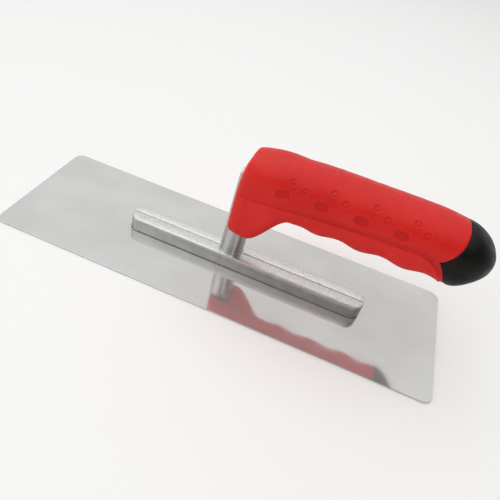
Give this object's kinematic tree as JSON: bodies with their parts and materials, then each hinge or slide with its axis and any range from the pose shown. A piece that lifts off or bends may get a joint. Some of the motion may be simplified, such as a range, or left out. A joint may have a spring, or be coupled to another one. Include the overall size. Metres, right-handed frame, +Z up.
{
  "type": "plastering trowel",
  "caption": "Rectangular finishing trowel: polished blade with rounded corners, cast mounting bar and post, red contoured grip with finger waves and black rounded end cap.",
  "frame": {"origin": "centre of the blade's underside, the working face", "axes": "+X along the blade towards the heel, +Z up towards the grip"},
  "size_m": [0.3, 0.1, 0.0939],
  "materials": {
    "stainless": "polished stainless sheet with fine scuffs",
    "adhesive": "dark epoxy film",
    "cast_aluminium": "die-cast aluminium, linished sides and rough top",
    "core_plastic": "moulded hard plastic",
    "red_plastic": "satin red moulding with fine texture",
    "red_soft": "matt red soft-touch elastomer",
    "black_soft": "black soft-touch elastomer with a slight sheen",
    "screw_steel": "zinc-plated steel"
  },
  "bodies": {
    "root": {"blade": "stainless", "bond_film": "adhesive", "mount_casting": "cast_aluminium", "grip_core": "core_plastic", "grip_body": "red_plastic", "finger_grip": "red_soft", "end_cap": "black_soft", "retaining_screw": "screw_steel", "screw_washer": "screw_steel"}
  },
  "joints": []
}
